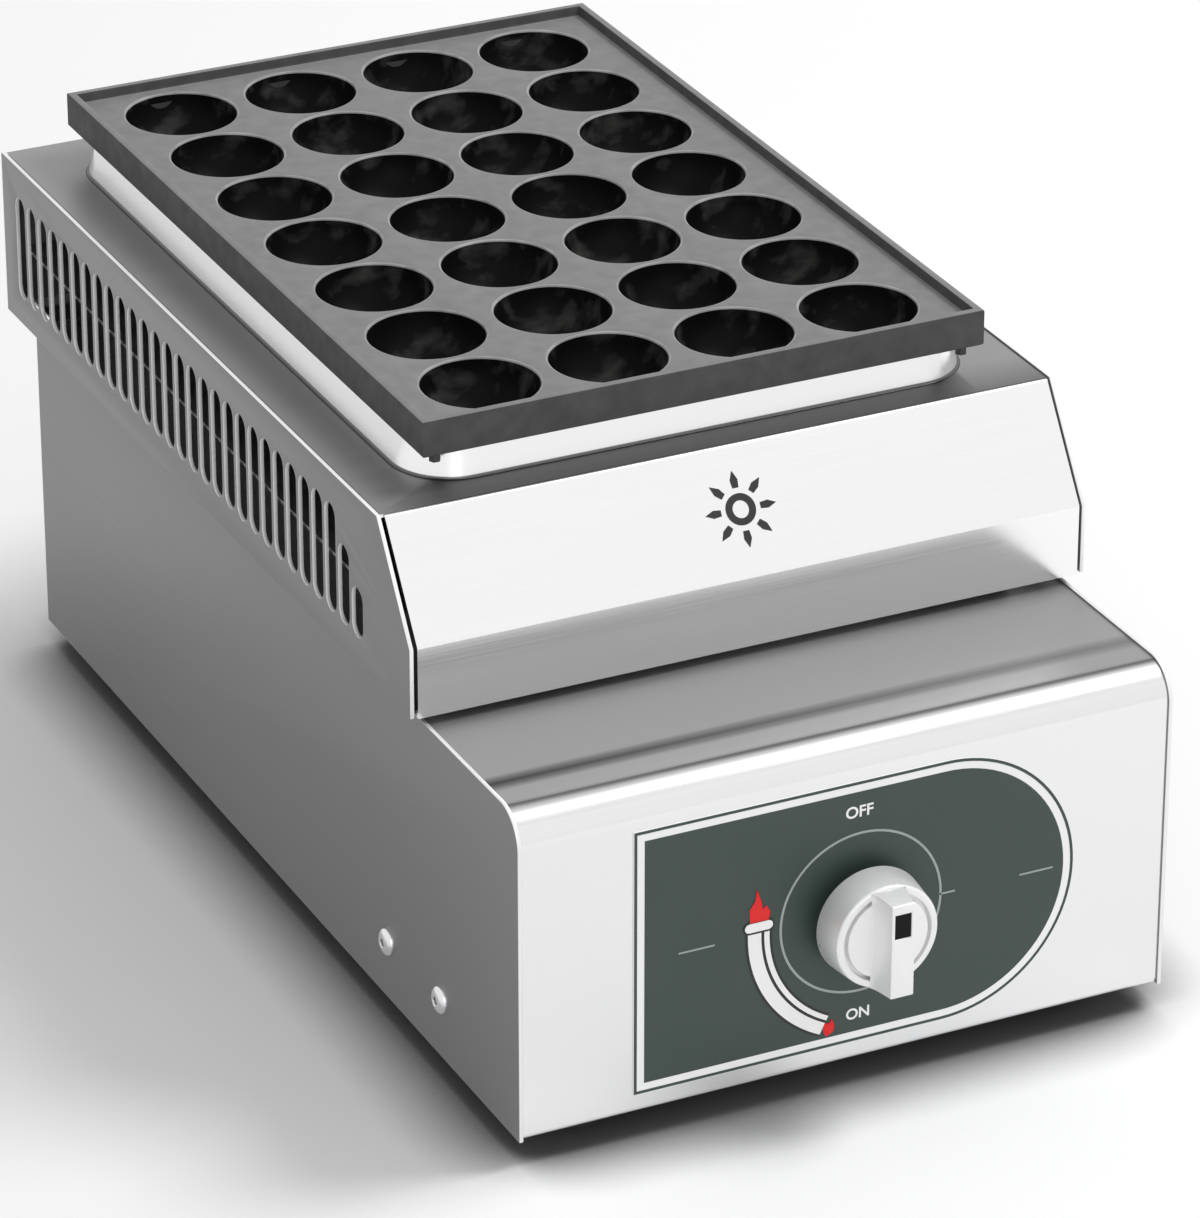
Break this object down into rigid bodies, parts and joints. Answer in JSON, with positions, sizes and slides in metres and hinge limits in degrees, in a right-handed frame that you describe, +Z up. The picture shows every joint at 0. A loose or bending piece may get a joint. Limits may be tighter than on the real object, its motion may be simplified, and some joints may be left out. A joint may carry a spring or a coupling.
{
  "type": "takoyaki maker",
  "caption": "Table top gas grill with a cast pan of ball shaped cups on a raised slotted hood, low sheet metal body, control plate and turn knob",
  "frame": {"origin": "middle of the footprint on the surface that the rubber feet stand on", "axes": "+X to the user's right, +Y away from the user, +Z up"},
  "size_m": [0.24, 0.456, 0.2105],
  "materials": {
    "side_panels": "satin stainless steel sheet",
    "front_panel": "bright satin stainless steel sheet",
    "back_panel": "satin stainless steel sheet",
    "base_plate": "plain steel sheet",
    "control_plate": "printed grey-green plate",
    "hood_sides": "satin stainless steel sheet",
    "hood_top": "satin stainless steel sheet",
    "hood_back": "satin stainless steel sheet",
    "rails": "plain steel sheet",
    "burner_box": "plain steel sheet, heat stained",
    "burners": "dark cast burner tube",
    "manifold": "machined brass",
    "valve": "forged brass",
    "plug": "ground brass",
    "bracket": "zinc plated steel sheet",
    "pipe": "drawn metal pipe with a brazed hose tail",
    "igniter": "black moulded plastic",
    "lead": "silicone covered lead",
    "electrode": "glazed ceramic with a wire",
    "knob": "silver white moulded knob",
    "marker": "black marker",
    "feet": "black rubber",
    "pan": "cast pan with a dark seasoned surface"
  },
  "bodies": {
    "grill": {"back_panel": "back_panel", "base_plate": "base_plate", "burner_box": "burner_box", "burner_bracket": "burner_box", "control_plate": "control_plate", "feed_pipe": "pipe", "front_panel": "front_panel", "gas_jets": "manifold", "gas_valve": "valve", "hood_back": "hood_back", "hood_left_side": "hood_sides", "hood_right_side": "hood_sides", "hood_top": "hood_top", "ignition_lead": "lead", "jet_manifold": "manifold", "left_burner": "burners", "left_rail": "rails", "left_side_panel": "side_panels", "piezo_igniter": "igniter", "pipe_nuts": "valve", "right_burner": "burners", "right_rail": "rails", "right_side_panel": "side_panels", "rubber_feet": "feet", "spark_electrode": "electrode", "valve_bracket": "bracket"},
    "pan": {"pan": "pan", "pan_pegs": "pan"},
    "plug": {"valve_plug": "plug"},
    "knob": {"valve_spindle": "plug", "knob": "knob", "knob_marker": "marker"}
  },
  "joints": [
    {"name": "pan_lift", "type": "slide", "parent": "grill", "child": "pan", "axis": [0, 0, 1], "range_m": [0, 0.06]},
    {"name": "valve_turn", "type": "hinge", "parent": "grill", "child": "plug", "pos_m": [0.004, -0.17, 0.06275], "axis": [0, -1, 0], "range_deg": [0, 180]},
    {"name": "knob_push", "type": "slide", "parent": "plug", "child": "knob", "axis": [0, 1, 0], "range_m": [0, 0.004], "stiffness_N_per_m": 1000, "springref_m": -0.002}
  ]
}
